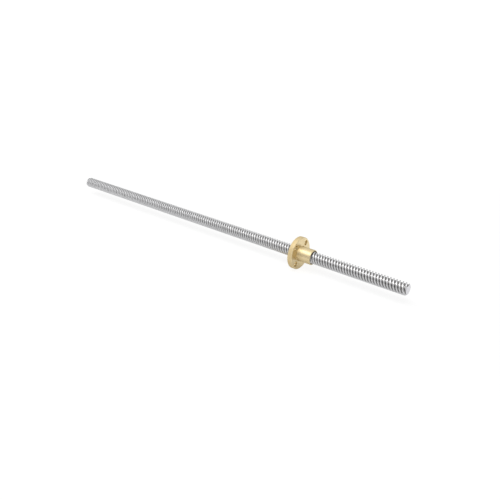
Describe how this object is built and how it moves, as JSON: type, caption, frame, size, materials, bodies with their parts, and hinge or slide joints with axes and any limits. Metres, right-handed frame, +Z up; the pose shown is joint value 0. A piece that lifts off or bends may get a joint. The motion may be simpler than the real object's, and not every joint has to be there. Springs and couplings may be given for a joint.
{
  "type": "trapezoidal lead screw",
  "caption": "Long round lead screw with chamfered ends, carrying a round flanged nut with a hub and screw holes in its flange.",
  "frame": {"origin": "centre of the screw's tail end face, on the screw's axis", "axes": "+X along the screw, from the tail end to the drive end; +Z up as the screw lies, with two of the flange's holes above the axis and two below"},
  "size_m": [0.3, 0.022, 0.022],
  "materials": {
    "screw_steel": "rolled thread, bright",
    "nut_brass": "fine turned, dry"
  },
  "bodies": {
    "screw": {"lead_screw": "screw_steel"},
    "nut": {"flange_nut": "nut_brass"}
  },
  "joints": [
    {"name": "nut_travel", "type": "slide", "parent": "screw", "child": "nut", "axis": [1, 0, 0], "range_m": [-0.218, 0.066]}
  ]
}
